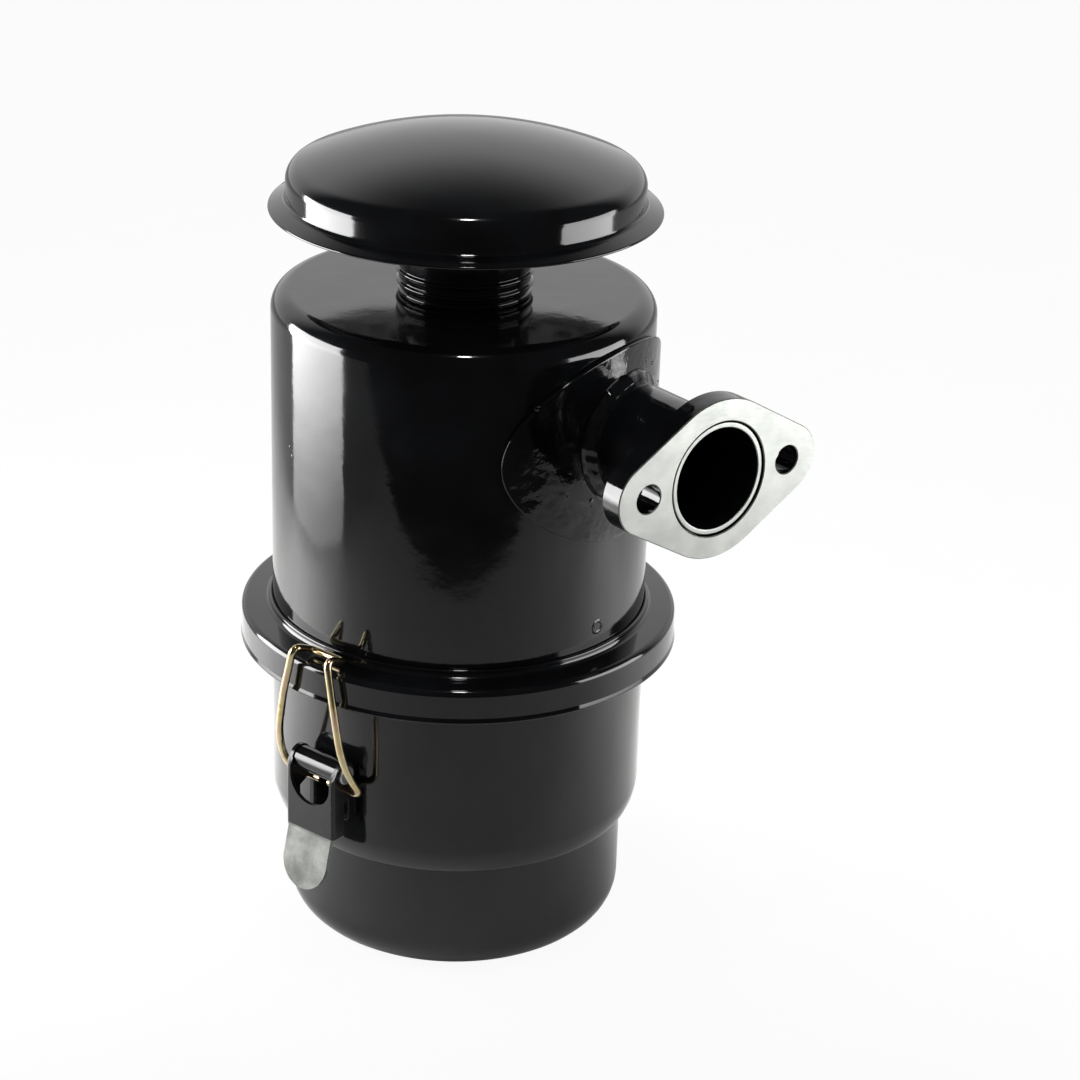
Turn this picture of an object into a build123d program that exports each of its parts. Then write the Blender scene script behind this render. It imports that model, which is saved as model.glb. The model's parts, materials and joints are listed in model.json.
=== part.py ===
"""Oil bath air filter of a small single-cylinder engine.

Millimetres, +Z up. The origin is the middle of the bowl's base. The outlet points along +X, with its
axis a little to one side of the filter's.
Air comes in under the rain cap, goes down the centre tube, turns over the oil in the bowl, rises
through the wire mesh round the tube and leaves by the outlet.
"""

import os
from math import asin, atan2, cos, degrees, hypot, pi, radians, sin, sqrt, tan

from build123d import *

# Sheets and fits
sheet = 1.0                      # drawn wall of shell, bowl and cap
ring_sheet = 1.2                 # pressed housing ring
slip = 0.05                      # radial gap of pieces pushed or welded together
running_gap = 0.06               # radial gap of a turning pin

# Housing shell
shell_radius = 60.0
shell_top = 214.5
shell_corner = 6.0

# Housing ring
ring_top = 110.2                 # the top band beside its collar
ring_fall = 0.6                  # how far the band falls to its outer edge
ring_collar_height = 2.4
ring_collar_fillet = 1.5
ring_edge_fillet = 2.0
ring_skirt_depth = 11.4
ring_lip_gap = 0.6               # between the ring's skirt and the bowl's lip

# Oil bowl
bowl_oversize = 0.3              # bowl's wall outside the shell's
bowl_base_corner = 12.0
bowl_step_height = 40.0
bowl_ledge_width = 2.9           # flat ledge under the shoulder
bowl_shoulder_width = 2.5
bowl_shoulder_rise = 4.7         # from the ledge to where the shoulder would meet the wall
bowl_edge_fillet = 1.2
bowl_lip_width = 8.4
bowl_lip_turn = 3.5              # depth of the lip's turned-down edge
bowl_lip_fillet = 2.5
gasket_thickness = 3.0
gasket_inset = 0.6               # gasket behind the lip's edge
gasket_fillet = 0.6

# Centre tube and neck
tube_radius = 19.6
tube_wall = 1.0
tube_bottom = 46.0
tube_above_plate = 5.0
neck_bead_width = 1.2
neck_bead_height = 1.2

# Rain cap
cap_gap = 26.4                   # from the shell's top to the edge of the flange
cap_height = 23.6                # from that edge to the crown
cap_band_radius = 55.2
cap_flange_width = 5.5
cap_flange_rise = 2.4
cap_band_fillet = 1.8
cap_crown_radius = 135.0
cap_corner_radius = 5.5
collar_sheet = 0.8
collar_weld_gap = 0.3            # between the neck's weld and the collar
collar_flange_width = 7.0
collar_bead_radius = 0.8
collar_bead_rises = (0.8, 4.4)   # bead middles above the collar's lower end
plate_inset = 0.3                # the inlet plate's underside above the flange's edge
plate_corner = 2.0
plate_rim_height = 4.0
air_hole_radius = 3.5
air_hole_pitch = 13.0
hole_rows = 2                    # circles of holes in the inlet plate and in each screen

# Outlet
outlet_drop = 34.3               # pipe's axis below the shell's top
outlet_offset = 18.6             # pipe's axis beside the filter's axis
outlet_stub = 41.6               # along the pipe's axis, from the doubler to the flange's face
outlet_bore_radius = 15.8
outlet_pipe_wall = 1.6
outlet_pipe_recess = 0.5         # pipe's end behind the flange's face
outlet_pipe_inset = 3.0          # how far the pipe runs into the shell
doubler_half_width = 42.6
doubler_half_height = 30.8
doubler_drop = 1.6               # doubler's middle below the pipe's
doubler_thickness = 1.5
flange_thickness = 8.0
flange_bore_gap = 0.6
flange_land = 6.9                # metal round the flange's bore
stud_spacing = 54.0
stud_hole_radius = 4.5
stud_hole_land = 6.8             # metal round a stud hole
flange_back_chamfer = 0.8
flange_face_chamfer = 0.3
weld_leg = 3.7
weld_slope = 2.6                 # how much of the bead's outer corner is bevelled away

# Mesh element
element_rise = 3.4               # underside of the lower screen above the shell's lower edge
element_pipe_gap = 1.7           # between the upper screen's rim and the outlet pipe
element_gap = 0.1                # between the screens and the shell
mesh_gap = 0.6                   # between the mesh and the screens' rims
screen_rim_height = 3.6
screen_corner = 1.5
screen_hole_radius = 5.0
screen_hole_pitch = 21.0
retainer_wire_radius = 1.5
retainer_arc = 350               # degrees

# Oil baffle
baffle_bore_gap = 6.4            # between the tube and the baffle's bore
baffle_lip_depth = 4.0
baffle_rim_height = 4.0
baffle_gap = 0.4                 # between the baffle and the bowl
baffle_hole_radius = 5.0
baffle_hole_count = 10

# Latches: reach is the distance from the filter's axis in each latch's own plane
latch_angles = {"front": -77.4, "rear": 102.6}
latch_pivot_drop = 36.7          # lever's pivot below the ring's band
pin_radius = 2.0
pin_head = 1.0                   # how far the peened heads stand out, past the pin and past the ears
pin_end_play = 0.15
knuckle_sheet = 1.7              # bracket plate and rolled knuckle
knuckle_length = 16.8
knuckle_jog = 1.15               # how far the plate steps out below the knuckle
bracket_length = 18.5            # from the pivot down to the plate's end
bracket_corner = 1.5
lever_sheet = 1.3
lever_side_gap = 0.25            # between knuckle end and lever ear
lever_front_gap = 0.45           # between knuckle and lever web
lever_length = 22.0              # from the pivot down to where the thumb tab starts
lever_channel_depth = 5.0
lever_ear_margin = 1.3           # metal round the bail's holes
lever_edge_fillet = 1.0
tab_length = 18.6
tab_kick = 14.0                  # degrees outwards
tab_width = 18.0
tab_bend_radius = 3.0
window_drop = 12.0               # from the pivot down to the window's rounded end
window_side_land = 0.4
bail_wire_radius = 1.2
bail_pivot_inset = 1.6           # bail pivot behind the lever pivot, nearer the bowl
bail_pivot_drop = 6.2            # bail pivot below the lever pivot
bail_stub_gap = 1.8              # half the gap between the two inward stubs
bail_hook_gap = 0.3              # bail above the ring's band
bail_leg_gap = 0.7               # legs outside the ring's skirt
bail_side_gap = 4.05             # wire's widest bend outside the lever's ears
bail_top_width = 13.2            # the hook's crossbar, between the wire's middles
bail_top_shift = 2.0             # the wire stands a little to one side at its top

# What follows from those sizes
shell_inner = shell_radius - sheet
ring_underside = ring_top - ring_sheet
ring_collar_radius = shell_radius + ring_sheet
bowl_radius = shell_radius + bowl_oversize
bowl_ledge_radius = bowl_radius - bowl_shoulder_width
bowl_lower_radius = bowl_ledge_radius - bowl_ledge_width
bowl_lip_radius = bowl_radius + bowl_lip_width
bowl_lip_top = ring_underside - gasket_thickness
ring_radius = bowl_lip_radius + ring_lip_gap + ring_sheet
cap_edge_height = shell_top + cap_gap
cap_apex = cap_edge_height + cap_height
cap_radius = cap_band_radius + cap_flange_width
plate_height = cap_edge_height + plate_inset
plate_radius = cap_band_radius - sheet - slip
collar_flange_radius = tube_radius + slip + collar_sheet + collar_flange_width
outlet_height = shell_top - outlet_drop
doubler_face = shell_radius + doubler_thickness
outlet_reach = sqrt(doubler_face**2 - outlet_offset**2) + outlet_stub
pipe_radius = outlet_bore_radius + outlet_pipe_wall
pipe_start = sqrt(shell_inner**2 - (outlet_offset + pipe_radius) ** 2) - outlet_pipe_inset
flange_bore_radius = pipe_radius + flange_bore_gap
flange_back = outlet_reach - flange_thickness
element_bottom = ring_underside + element_rise
element_top = outlet_height - pipe_radius - element_pipe_gap - screen_rim_height
mesh_pack_height = (element_top - element_bottom) / 2 - sheet
latch_pivot_height = ring_top - latch_pivot_drop
knuckle_bore = pin_radius + slip
knuckle_radius = knuckle_bore + knuckle_sheet
pivot_reach = bowl_radius + knuckle_jog + knuckle_radius
bail_reach = pivot_reach - bail_pivot_inset
bail_height = latch_pivot_height - bail_pivot_drop
web_inner = pivot_reach + knuckle_radius + lever_front_gap
web_outer = web_inner + lever_sheet
ear_inner = knuckle_length / 2 + lever_side_gap
ear_outer = ear_inner + lever_sheet

outlet_centre = (outlet_offset, outlet_height)
os.makedirs("parts", exist_ok=True)


def save(piece, name):
    """Label a finished piece and write it under its own name."""
    piece.part.label = name
    export_step(piece.part, f"parts/{name}.step")


def sheet_section(points, radii, thickness, side=Side.RIGHT):
    """Section of a pressed sheet: its outer line, filleted, with the metal on one side of it."""
    with BuildSketch(Plane.XZ) as section:
        with BuildLine():
            FilletPolyline(*points, radius=radii)
            offset(amount=thickness, side=side)
        make_face()
    return section.sketch


def drill_rows(inner, outer, hole_radius, pitch, height):
    """Cut circles of round holes through a sheet, evenly between two radii and about a pitch apart."""
    for row in range(hole_rows):
        radius = inner + (outer - inner) * (row + 0.5) / hole_rows
        with BuildSketch(Plane.XY.offset(height - sheet)) as holes:
            with PolarLocations(radius, round(2 * pi * radius / pitch)):
                Circle(hole_radius)
        extrude(holes.sketch, amount=3 * sheet, mode=Mode.SUBTRACT)


# Oil bowl: drawn bowl with a ledge inside that carries the baffle
with BuildPart() as oil_bowl:
    flank = hypot(bowl_shoulder_width, bowl_shoulder_rise)
    half_turn = atan2(bowl_shoulder_width, bowl_shoulder_rise) / 2
    bowl_section = sheet_section(
        [
            (0, 0),
            (bowl_lower_radius, 0),
            (bowl_lower_radius, bowl_step_height),
            (bowl_ledge_radius, bowl_step_height),
            (bowl_radius, bowl_step_height + bowl_shoulder_rise),
            (bowl_radius, bowl_lip_top - sheet),
            (bowl_lip_radius - sheet, bowl_lip_top - sheet),
            (bowl_lip_radius - sheet, bowl_lip_top - bowl_lip_turn),
        ],
        [
            bowl_base_corner,
            bowl_edge_fillet,
            bowl_edge_fillet,
            (flank - bowl_edge_fillet) / tan(half_turn),
            bowl_lip_fillet,
            bowl_edge_fillet,
        ],
        sheet,
        Side.LEFT,
    )
    revolve(bowl_section, axis=Axis.Z)
save(oil_bowl, "oil_bowl")

# Oil baffle: tray on the bowl's ledge, with its bore turned down round the centre tube
with BuildPart() as oil_baffle:
    baffle_seat = bowl_step_height + sheet
    baffle_bore_radius = tube_radius + baffle_bore_gap
    baffle_radius = bowl_ledge_radius - sheet - baffle_gap
    baffle_section = sheet_section(
        [
            (baffle_bore_radius + sheet, baffle_seat - baffle_lip_depth),
            (baffle_bore_radius + sheet, baffle_seat),
            (baffle_radius, baffle_seat),
            (baffle_radius, baffle_seat + baffle_rim_height),
        ],
        [sheet / 2, 1.5 * sheet],
        sheet,
        Side.LEFT,
    )
    revolve(baffle_section, axis=Axis.Z)
    with BuildSketch(Plane.XY.offset(baffle_seat - sheet)):
        with PolarLocations((baffle_bore_radius + baffle_radius) / 2, baffle_hole_count):
            Circle(baffle_hole_radius)
    extrude(amount=3 * sheet, mode=Mode.SUBTRACT)
save(oil_baffle, "oil_baffle")

# Rubber ring between the bowl's lip and the housing ring, its top sloped like the ring's band
with BuildPart() as bowl_gasket:
    gasket_inner = bowl_radius + bowl_lip_fillet
    gasket_outer = bowl_lip_radius - gasket_inset
    band_slope = ring_fall / (ring_radius - ring_collar_radius)
    fall_inner = (gasket_inner - ring_collar_radius) * band_slope + 2 * slip
    fall_outer = (gasket_outer - ring_collar_radius) * band_slope + 2 * slip
    with BuildSketch(Plane.XZ) as gasket_section:
        Polygon(
            (gasket_inner, bowl_lip_top),
            (gasket_outer, bowl_lip_top),
            (gasket_outer, ring_underside - fall_outer),
            (gasket_inner, ring_underside - fall_inner),
            align=None,
        )
        fillet(gasket_section.vertices(), gasket_fillet)
    revolve(axis=Axis.Z)
save(bowl_gasket, "bowl_gasket")

# Housing ring: collar round the shell, top band and skirt over the bowl's lip
with BuildPart() as housing_ring:
    ring_section = sheet_section(
        [
            (ring_collar_radius, ring_top + ring_collar_height),
            (ring_collar_radius, ring_top),
            (ring_radius, ring_top - ring_fall),
            (ring_radius, ring_top - ring_skirt_depth),
        ],
        [ring_collar_fillet, ring_edge_fillet],
        ring_sheet,
    )
    revolve(ring_section, axis=Axis.Z)
save(housing_ring, "housing_ring")

# Housing shell: drawn can, open below, with holes for the centre tube and the outlet pipe
with BuildPart() as housing_shell:
    shell_section = sheet_section(
        [
            (tube_radius + slip, shell_top),
            (shell_radius - slip, shell_top),
            (shell_radius - slip, ring_underside),
        ],
        [shell_corner],
        sheet,
    )
    revolve(shell_section, axis=Axis.Z)
    with BuildSketch(Plane.YZ):
        with Locations(outlet_centre):
            Circle(pipe_radius + slip)
    extrude(amount=2 * shell_radius, mode=Mode.SUBTRACT)
save(housing_shell, "housing_shell")

# Centre tube, from inside the cap down into the bowl
with BuildPart() as centre_tube:
    with BuildSketch(Plane.XY.offset(tube_bottom)):
        Circle(tube_radius)
        Circle(tube_radius - tube_wall, mode=Mode.SUBTRACT)
    extrude(amount=plate_height + sheet + tube_above_plate - tube_bottom)
save(centre_tube, "centre_tube")

# Bead of weld between tube and shell top
with BuildPart() as neck_weld:
    with BuildSketch(Plane.XZ):
        with BuildLine():
            bead = Spline(
                (tube_radius + slip, shell_top + neck_bead_height),
                (tube_radius + neck_bead_width * 0.75, shell_top + neck_bead_height * 0.62),
                (tube_radius + neck_bead_width, shell_top),
            )
            Polyline(bead @ 1, (tube_radius + slip, shell_top), bead @ 0)
        make_face()
    revolve(axis=Axis.Z)
save(neck_weld, "neck_weld")

# Cap collar: sleeve over the tube, with two rolled beads and a flange under the inlet plate
with BuildPart() as cap_collar:
    collar_outer = tube_radius + slip + collar_sheet
    collar_bottom = shell_top + neck_bead_height + collar_weld_gap
    collar_top = plate_height - collar_sheet
    collar_section = sheet_section(
        [(collar_outer, collar_bottom), (collar_outer, collar_top), (collar_flange_radius, collar_top)],
        [1.5 * collar_sheet],
        collar_sheet,
        Side.LEFT,
    )
    revolve(collar_section, axis=Axis.Z)
    with BuildSketch(Plane.XZ):
        with Locations(*[(collar_outer, collar_bottom + rise) for rise in collar_bead_rises]):
            Circle(collar_bead_radius)
        with Locations((tube_radius + slip, collar_bottom)):
            Rectangle(cap_gap, cap_gap, align=(Align.MIN, Align.MIN), mode=Mode.INTERSECT)
    revolve(axis=Axis.Z)
save(cap_collar, "cap_collar")

# Inlet plate: closes the cap from below, with circles of air holes
with BuildPart() as cap_inlet_plate:
    plate_section = sheet_section(
        [
            (tube_radius + slip, plate_height),
            (plate_radius, plate_height),
            (plate_radius, plate_height + plate_rim_height),
        ],
        [plate_corner],
        sheet,
        Side.LEFT,
    )
    revolve(plate_section, axis=Axis.Z)
    drill_rows(
        collar_flange_radius, plate_radius - plate_corner, air_hole_radius, air_hole_pitch, plate_height
    )
save(cap_inlet_plate, "cap_inlet_plate")

# Rain cap: shallow crown, tight corner, side band and a drooping flange, drawn as one sheet
with BuildPart() as rain_cap:
    corner_reach = cap_band_radius - cap_corner_radius
    crown_angle = degrees(asin(corner_reach / (cap_crown_radius - cap_corner_radius)))
    with BuildSketch(Plane.XZ):
        with BuildLine():
            crown = JernArc((0, cap_apex), (1, 0), cap_crown_radius, -crown_angle)
            corner = JernArc(crown @ 1, crown % 1, cap_corner_radius, crown_angle - 90)
            FilletPolyline(
                corner @ 1,
                (cap_band_radius, cap_edge_height + cap_flange_rise),
                (cap_radius, cap_edge_height),
                radius=cap_band_fillet,
            )
            offset(amount=sheet, side=Side.RIGHT)
        make_face()
    revolve(axis=Axis.Z)
save(rain_cap, "rain_cap")

# Outlet doubler: oval plate bent to the shell, round the place where the pipe meets it
with BuildPart() as outlet_doubler:
    doubler_angle = asin(outlet_offset / doubler_face)
    doubler_middle = outlet_height - doubler_drop
    doubler_plane = Plane(
        origin=(0, 0, doubler_middle),
        x_dir=(-sin(doubler_angle), cos(doubler_angle), 0),
        z_dir=(cos(doubler_angle), sin(doubler_angle), 0),
    )
    with BuildSketch(doubler_plane):
        Ellipse(doubler_half_width, doubler_half_height)
    extrude(amount=2 * shell_radius)
    with BuildSketch(Plane.XY.offset(doubler_middle - 2 * doubler_half_height)):
        Circle(doubler_face)
        Circle(shell_radius, mode=Mode.SUBTRACT)
    extrude(amount=4 * doubler_half_height, mode=Mode.INTERSECT)
    with BuildSketch(Plane.YZ):
        with Locations(outlet_centre):
            Circle(pipe_radius + slip)
    extrude(amount=2 * shell_radius, mode=Mode.SUBTRACT)
save(outlet_doubler, "outlet_doubler")

# Outlet pipe, through doubler and flange
with BuildPart() as outlet_pipe:
    with BuildSketch(Plane.YZ.offset(pipe_start)):
        with Locations(outlet_centre):
            Circle(pipe_radius)
            Circle(outlet_bore_radius, mode=Mode.SUBTRACT)
    extrude(amount=outlet_reach - outlet_pipe_recess - pipe_start)
save(outlet_pipe, "outlet_pipe")

# Weld round the pipe on the doubler: a collar that follows both curves, with its outer corner bevelled
with BuildPart() as outlet_pipe_weld:
    with BuildSketch(Plane.YZ):
        with Locations(outlet_centre):
            Circle(pipe_radius + weld_leg)
            Circle(pipe_radius + slip, mode=Mode.SUBTRACT)
    extrude(amount=2 * shell_radius)
    with BuildSketch(Plane.XY.offset(outlet_height - 2 * pipe_radius)):
        Circle(doubler_face + weld_leg)
        Circle(doubler_face, mode=Mode.SUBTRACT)
    extrude(amount=4 * pipe_radius, mode=Mode.INTERSECT)
    outer_corner = outlet_pipe_weld.edges().sort_by(Edge.length)[-1]
    chamfer(outer_corner, weld_slope)
save(outlet_pipe_weld, "outlet_pipe_weld")

# Weld behind the flange
with BuildPart() as outlet_flange_weld:
    with BuildSketch(Plane.YZ.offset(flange_back - weld_leg)):
        with Locations(outlet_centre):
            Circle(pipe_radius + weld_leg)
            Circle(pipe_radius + slip, mode=Mode.SUBTRACT)
    extrude(amount=weld_leg)
    outer_corner = outlet_flange_weld.edges().group_by(Axis.X)[0].sort_by(Edge.length)[-1]
    chamfer(outer_corner, weld_slope)
save(outlet_flange_weld, "outlet_flange_weld")

# Outlet flange: two round ends and a round middle joined by tangents
with BuildPart() as outlet_flange:
    with BuildSketch(Plane.YZ.offset(flange_back)):
        with Locations(outlet_centre):
            Circle(flange_bore_radius + flange_land)
            with GridLocations(stud_spacing, 0, 2, 1):
                Circle(stud_hole_radius + stud_hole_land)
        make_hull()
        with Locations(outlet_centre):
            Circle(flange_bore_radius, mode=Mode.SUBTRACT)
            with GridLocations(stud_spacing, 0, 2, 1):
                Circle(stud_hole_radius, mode=Mode.SUBTRACT)
    extrude(amount=flange_thickness)
    back_edges = outlet_flange.faces().sort_by(Axis.X)[0].outer_wire().edges()
    chamfer(back_edges, flange_back_chamfer)
    face_edges = outlet_flange.faces().sort_by(Axis.X)[-1].outer_wire().edges()
    chamfer(face_edges, flange_face_chamfer)
save(outlet_flange, "outlet_flange")


def element_screen(name, height):
    """Perforated disc between tube and shell, with its rim turned up against the shell."""
    outer = shell_inner - element_gap
    with BuildPart() as screen:
        screen_section = sheet_section(
            [(tube_radius + slip, height), (outer, height), (outer, height + screen_rim_height)],
            [screen_corner],
            sheet,
            Side.LEFT,
        )
        revolve(screen_section, axis=Axis.Z)
        drill_rows(tube_radius, outer, screen_hole_radius, screen_hole_pitch, height)
    save(screen, name)


def mesh_pack(name, height):
    """Pad of knitted steel wire, pressed to a ring."""
    with BuildPart() as pack:
        with BuildSketch(Plane.XY.offset(height)):
            Circle(shell_inner - element_gap - sheet - mesh_gap)
            Circle(tube_radius + slip, mode=Mode.SUBTRACT)
        extrude(amount=mesh_pack_height)
    save(pack, name)


pack_pitch = mesh_pack_height + sheet
element_screen("lower_screen", element_bottom)
mesh_pack("lower_mesh_pack", element_bottom + sheet)
element_screen("middle_screen", element_bottom + pack_pitch)
mesh_pack("upper_mesh_pack", element_bottom + sheet + pack_pitch)
element_screen("upper_screen", element_bottom + 2 * pack_pitch)

# Spring ring that holds the element up in the shell
with BuildPart() as screen_retainer:
    retainer_radius = shell_inner - element_gap - retainer_wire_radius
    with BuildSketch(Plane.XZ):
        with Locations((retainer_radius, element_bottom - retainer_wire_radius - slip)):
            Circle(retainer_wire_radius)
    revolve(axis=Axis.Z, revolution_arc=retainer_arc)
save(screen_retainer, "screen_retainer")


def latch_bracket():
    """Plate on the bowl's wall whose upper end is rolled round the pivot pin."""
    back = pivot_reach - knuckle_radius
    bracket_bottom = latch_pivot_height - bracket_length
    jog_top = latch_pivot_height - pin_radius
    jog_bottom = jog_top - 2 * knuckle_jog
    with BuildPart() as bracket:
        plate_section = sheet_section(
            [
                (bowl_radius, bracket_bottom),
                (bowl_radius, jog_bottom),
                (back, jog_top),
                (back, latch_pivot_height),
            ],
            [1.5 * knuckle_sheet, knuckle_sheet / 4],
            knuckle_sheet,
        )
        extrude(plate_section, amount=knuckle_length / 2, both=True)
        with BuildSketch(Plane.XZ):
            with Locations((bowl_radius + knuckle_sheet / 2, bracket_bottom)):
                Rectangle(2 * knuckle_sheet, jog_bottom - bracket_bottom, align=(Align.MAX, Align.MIN))
            with Locations((pivot_reach, latch_pivot_height)):
                Circle(knuckle_radius)
        extrude(amount=knuckle_length / 2, both=True)
        with BuildSketch(Plane.XZ):
            with Locations((pivot_reach, latch_pivot_height)):
                Circle(knuckle_bore)
        extrude(amount=knuckle_length, both=True, mode=Mode.SUBTRACT)
        with BuildSketch(Plane.XY):
            Circle(bowl_radius)
        extrude(amount=2 * latch_pivot_height, mode=Mode.SUBTRACT)
        fillet(bracket.edges().filter_by(Axis.X).group_by(Axis.Z)[0], bracket_corner)
    return bracket.part


def latch_pin():
    """Headed pin through knuckle and lever ears."""
    half_length = ear_outer + pin_end_play
    with BuildPart() as pin:
        with BuildSketch(Plane.XZ):
            with Locations((pivot_reach, latch_pivot_height)):
                Circle(pin_radius)
        extrude(amount=half_length, both=True)
        for end, outward in ((half_length, 1), (-half_length, -1)):
            with BuildSketch(Plane.XZ.offset(end)):
                with Locations((pivot_reach, latch_pivot_height)):
                    Circle(pin_radius + pin_head)
            extrude(amount=pin_head * outward)
        rims = pin.edges().filter_by(GeomType.CIRCLE).group_by(Axis.Y)
        fillet(rims[0] + rims[-1], pin_head / 2)
    return pin.part


def latch_lever():
    """Channel with two ears on the pin, a window over the knuckle and a thumb tab."""
    kick = radians(tab_kick)
    lever_bottom = latch_pivot_height - lever_length
    window_bottom = latch_pivot_height - window_drop
    tab_tip = (web_outer + tab_length * sin(kick), lever_bottom - tab_length * cos(kick))
    web_top = latch_pivot_height - pin_radius / 2
    with BuildPart() as lever:
        # solid outline of the ears and the channel
        with BuildSketch(Plane.XZ):
            with Locations((pivot_reach, latch_pivot_height)):
                Circle(web_inner - pivot_reach)
            with Locations((bail_reach, bail_height)):
                Circle(bail_wire_radius + lever_ear_margin)
            with Locations((web_outer, web_top)):
                Rectangle(lever_sheet, web_top - window_bottom, align=(Align.MAX, Align.MAX))
            make_hull()
            with Locations((web_outer, lever_bottom)):
                Rectangle(lever_channel_depth, bail_height - lever_bottom, align=(Align.MAX, Align.MIN))
        extrude(amount=ear_outer, both=True)
        fillet(lever.edges().filter_by(Axis.Z).group_by(Axis.X)[-1], lever_edge_fillet)
        # hollow behind the web
        with BuildSketch(Plane.XZ):
            with Locations((web_inner, 0)):
                Rectangle(web_inner, 2 * latch_pivot_height, align=(Align.MAX, Align.MIN))
        extrude(amount=ear_inner, both=True, mode=Mode.SUBTRACT)
        # thumb tab with its rounded end
        tab_section = sheet_section(
            [(web_outer, lever_bottom + tab_bend_radius), (web_outer, lever_bottom), tab_tip],
            [tab_bend_radius],
            lever_sheet,
        )
        extrude(tab_section, amount=tab_width / 2, both=True)
        with BuildSketch(Plane.YZ.offset(web_inner - lever_sheet)):
            with Locations((0, tab_tip[1] + tab_width / 2)):
                Rectangle(2 * tab_width, tab_width, align=(Align.CENTER, Align.MAX))
                Circle(tab_width / 2, mode=Mode.SUBTRACT)
        extrude(amount=tab_length, mode=Mode.SUBTRACT)
        # window over the knuckle
        with BuildSketch(Plane.YZ.offset(web_inner - lever_sheet)):
            half_window = ear_inner - window_side_land
            with Locations((0, window_bottom + half_window)):
                Circle(half_window)
                Rectangle(2 * half_window, lever_length, align=(Align.CENTER, Align.MIN))
        extrude(amount=3 * lever_sheet, mode=Mode.SUBTRACT)
        # holes for the pin and the bail's stubs
        with BuildSketch(Plane.XZ):
            with Locations((pivot_reach, latch_pivot_height)):
                Circle(pin_radius + running_gap)
            with Locations((bail_reach, bail_height)):
                Circle(bail_wire_radius + running_gap)
        extrude(amount=2 * ear_outer, both=True, mode=Mode.SUBTRACT)
    return lever.part


def latch_bail():
    """Spring wire: two stubs in the lever's ears, two bowed legs and a hook over the ring."""
    hook_height = ring_top + bail_hook_gap + bail_wire_radius
    hook_reach = ring_collar_radius + ring_collar_fillet + 1.25 * bail_wire_radius
    leg_reach = ring_radius + bail_leg_gap + bail_wire_radius
    top_height = hook_height + 3 * bail_wire_radius
    rise = top_height - bail_height
    bottom_half = ear_outer + bail_side_gap + bail_wire_radius
    top_half = bail_top_width / 2
    # one side of the wire: half width, reach, height and bend radius
    side = [
        (bottom_half, bail_reach, bail_height, 2.1 * bail_wire_radius),
        (0.9 * bottom_half, leg_reach - bail_wire_radius, bail_height + 0.26 * rise, 7.5 * bail_wire_radius),
        (0.48 * (bottom_half + top_half), leg_reach, bail_height + 0.66 * rise, 20 * bail_wire_radius),
        (1.05 * top_half, leg_reach, top_height, 1.7 * bail_wire_radius),
        (top_half, hook_reach, hook_height, 1.4 * bail_wire_radius),
    ]
    points = [(bail_reach, -bail_stub_gap, bail_height)]
    bends = []
    for hand, corners in ((-1, side), (1, side[::-1])):
        for half_width, reach, height, bend in corners:
            shift = bail_top_shift * (height - bail_height) / rise
            points.append((reach, hand * half_width + shift, height))
            bends.append(bend)
    points.append((bail_reach, bail_stub_gap, bail_height))
    with BuildPart() as bail:
        with BuildLine() as wire:
            FilletPolyline(*points, radius=bends)
        with BuildSketch(Plane(origin=wire.line @ 0, z_dir=wire.line % 0)):
            Circle(bail_wire_radius)
        sweep()
    return bail.part


# Both latches have the same pieces, turned to their places round the bowl
latch_pieces = {
    "bracket": latch_bracket(),
    "pin": latch_pin(),
    "lever": latch_lever(),
    "bail": latch_bail(),
}
for side_name, angle in latch_angles.items():
    for piece_name, shape in latch_pieces.items():
        with BuildPart() as latch_piece:
            add(shape, rotation=(0, 0, angle))
        save(latch_piece, f"{side_name}_latch_{piece_name}")
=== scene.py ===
import json
from math import acos, asin, atan2, cos, degrees, pi, radians, sin, sqrt, tan
from random import Random

import bmesh
import bpy
from mathutils import Matrix, Vector, noise


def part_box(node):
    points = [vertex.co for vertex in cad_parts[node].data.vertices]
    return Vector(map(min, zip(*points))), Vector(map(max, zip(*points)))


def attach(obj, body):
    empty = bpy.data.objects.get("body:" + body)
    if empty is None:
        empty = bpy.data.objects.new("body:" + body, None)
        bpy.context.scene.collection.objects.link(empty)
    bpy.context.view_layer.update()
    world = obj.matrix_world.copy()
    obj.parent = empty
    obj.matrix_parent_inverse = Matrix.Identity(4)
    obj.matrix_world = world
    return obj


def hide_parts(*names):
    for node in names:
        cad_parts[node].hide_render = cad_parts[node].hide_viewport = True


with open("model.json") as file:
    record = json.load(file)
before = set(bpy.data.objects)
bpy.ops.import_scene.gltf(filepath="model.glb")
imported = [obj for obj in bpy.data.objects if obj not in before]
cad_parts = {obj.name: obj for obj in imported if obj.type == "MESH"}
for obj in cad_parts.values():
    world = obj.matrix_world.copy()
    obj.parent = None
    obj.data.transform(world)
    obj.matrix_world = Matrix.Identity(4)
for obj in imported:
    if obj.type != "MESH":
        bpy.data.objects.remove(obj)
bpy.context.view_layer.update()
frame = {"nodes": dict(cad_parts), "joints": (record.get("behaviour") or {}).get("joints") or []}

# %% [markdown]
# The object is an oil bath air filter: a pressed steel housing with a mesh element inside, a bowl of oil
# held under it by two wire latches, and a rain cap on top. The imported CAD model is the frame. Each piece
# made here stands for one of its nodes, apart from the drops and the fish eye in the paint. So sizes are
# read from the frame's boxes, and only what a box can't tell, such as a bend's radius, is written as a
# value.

MM = 0.001
nodes = frame["nodes"]

# %% [markdown]
# Every real size is in millimetres and Blender works in metres. A node's box gives its radius and the
# heights of its two ends, which is all that a turned or pressed piece needs. Pieces that lie on each
# other keep a slip of 0.05 mm between them, as they do in the frame.


# %% Reading sizes from the frame
def low(node):
    """Height of a node's lowest point, in millimetres."""
    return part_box(node)[0].z / MM


def high(node):
    """Height of a node's highest point, in millimetres."""
    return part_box(node)[1].z / MM


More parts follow.
